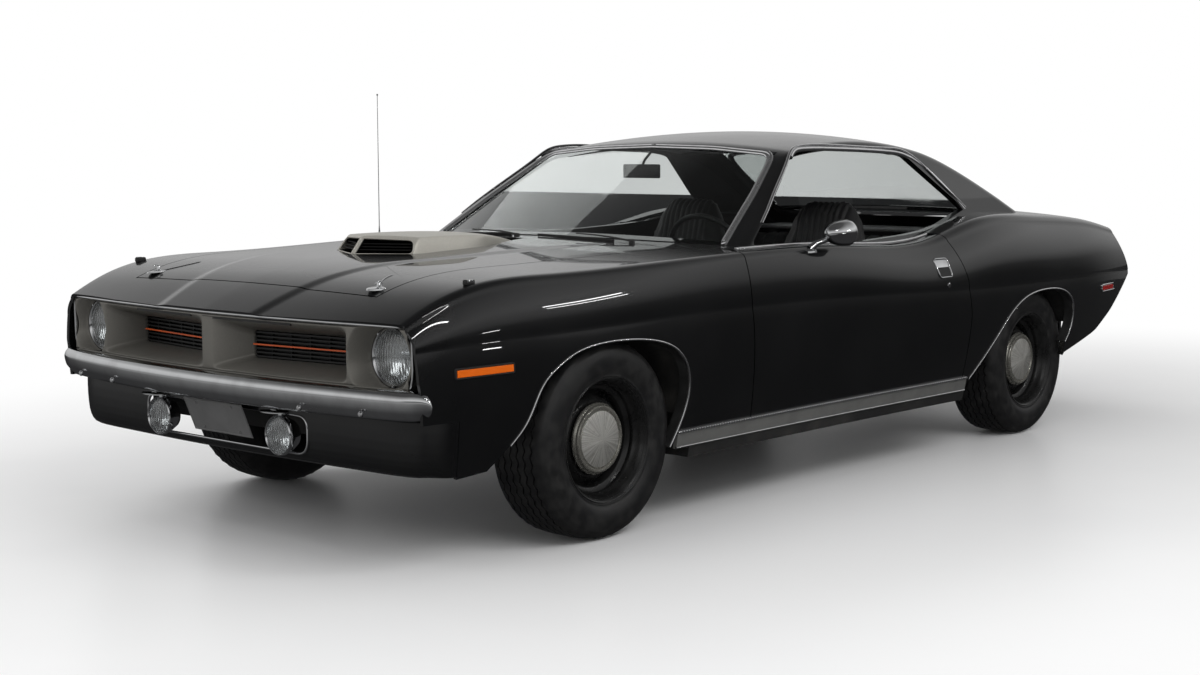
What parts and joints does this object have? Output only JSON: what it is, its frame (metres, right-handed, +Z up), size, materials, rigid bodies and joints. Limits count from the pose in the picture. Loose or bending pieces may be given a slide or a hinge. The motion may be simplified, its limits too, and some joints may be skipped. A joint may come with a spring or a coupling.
{
  "type": "two-door muscle car",
  "caption": "Black two-door hardtop muscle car with a shaker scoop, twin-mouth grille, opening hood, doors and deck lid, and steered rolling wheels.",
  "frame": {"origin": "on the floor under the middle of the car's length and width", "axes": "+X forward, +Y to the car's left, +Z up"},
  "size_m": [4.742, 1.9371, 1.4388],
  "materials": {
    "body_paint": "gloss",
    "underbody": "satin",
    "argent": "satin",
    "grille_black": "matte",
    "lamp_glass": "polished",
    "chrome": "polished",
    "plate": "satin",
    "red_lens": "gloss",
    "amber_lens": "gloss",
    "glass": "polished",
    "engine_paint": "satin",
    "steel": "satin",
    "trim_black": "satin",
    "vinyl_black": "satin",
    "wheel_black": "gloss",
    "tyre": "matte"
  },
  "bodies": {
    "body": {"floor_pan": "underbody", "fender_left": "body_paint", "fender_right": "body_paint", "quarter_left": "body_paint", "quarter_right": "body_paint", "roof": "body_paint", "cowl": "body_paint", "nose_panel": "body_paint", "grille_surround": "argent", "grille_inserts": "grille_black", "headlamps": "lamp_glass", "driving_lamps": "lamp_glass", "front_bumper": "chrome", "front_valance": "body_paint", "licence_plates": "plate", "rear_bumper": "chrome", "rear_valance": "body_paint", "tail_panel": "body_paint", "tail_lamps": "red_lens", "front_markers": "amber_lens", "rear_markers": "red_lens", "rocker_mouldings": "argent", "windshield": "glass", "rear_window": "glass", "engine": "engine_paint", "shaker_scoop": "argent", "driveline": "engine_paint", "exhaust": "steel", "fuel_tank": "steel", "dashboard": "trim_black", "steering_wheel": "trim_black", "front_seats": "vinyl_black", "rear_seat": "vinyl_black", "front_suspension": "underbody", "rear_axle": "underbody", "antenna": "chrome"},
    "hood": {"hood": "body_paint"},
    "door_left": {"door_left": "body_paint", "door_left_fittings": "chrome"},
    "door_right": {"door_right": "body_paint", "door_right_fittings": "chrome"},
    "decklid": {"decklid": "body_paint"},
    "knuckle_left": {"knuckle_left": "underbody"},
    "knuckle_right": {"knuckle_right": "underbody"},
    "wheel_fl": {"wheel_fl": "wheel_black", "tyre_fl": "tyre"},
    "wheel_fr": {"wheel_fr": "wheel_black", "tyre_fr": "tyre"},
    "wheel_rl": {"wheel_rl": "wheel_black", "tyre_rl": "tyre"},
    "wheel_rr": {"wheel_rr": "wheel_black", "tyre_rr": "tyre"}
  },
  "joints": [
    {"name": "hood_hinge", "type": "hinge", "parent": "body", "child": "hood", "pos_m": [0.876, 0, 0.908], "axis": [0, -1, 0], "range_deg": [0, 55]},
    {"name": "door_left_hinge", "type": "hinge", "parent": "body", "child": "door_left", "pos_m": [0.675, 0.893, 0.58], "axis": [0, 0, -1], "range_deg": [0, 62]},
    {"name": "door_right_hinge", "type": "hinge", "parent": "body", "child": "door_right", "pos_m": [0.675, -0.893, 0.58], "axis": [0, 0, 1], "range_deg": [0, 62]},
    {"name": "decklid_hinge", "type": "hinge", "parent": "body", "child": "decklid", "pos_m": [-1.57, 0, 0.958], "axis": [0, 1, 0], "range_deg": [0, 70]},
    {"name": "steer_left", "type": "hinge", "parent": "body", "child": "knuckle_left", "pos_m": [1.431, 0.69, 0.318], "axis": [0, 0, 1], "range_deg": [-30, 30]},
    {"name": "steer_right", "type": "hinge", "parent": "body", "child": "knuckle_right", "pos_m": [1.431, -0.69, 0.318], "axis": [0, 0, 1], "range_deg": [-30, 30]},
    {"name": "spin_fl", "type": "hinge", "parent": "knuckle_left", "child": "wheel_fl", "pos_m": [1.431, 0.758, 0.318], "axis": [0, 1, 0], "continuous": true},
    {"name": "spin_fr", "type": "hinge", "parent": "knuckle_right", "child": "wheel_fr", "pos_m": [1.431, -0.758, 0.318], "axis": [0, 1, 0], "continuous": true},
    {"name": "spin_rl", "type": "hinge", "parent": "body", "child": "wheel_rl", "pos_m": [-1.312, 0.771, 0.318], "axis": [0, 1, 0], "continuous": true},
    {"name": "spin_rr", "type": "hinge", "parent": "body", "child": "wheel_rr", "pos_m": [-1.312, -0.771, 0.318], "axis": [0, 1, 0], "continuous": true}
  ],
  "couplings": [
    {"joint": "steer_right", "follows": "steer_left", "ratio": 1}
  ]
}
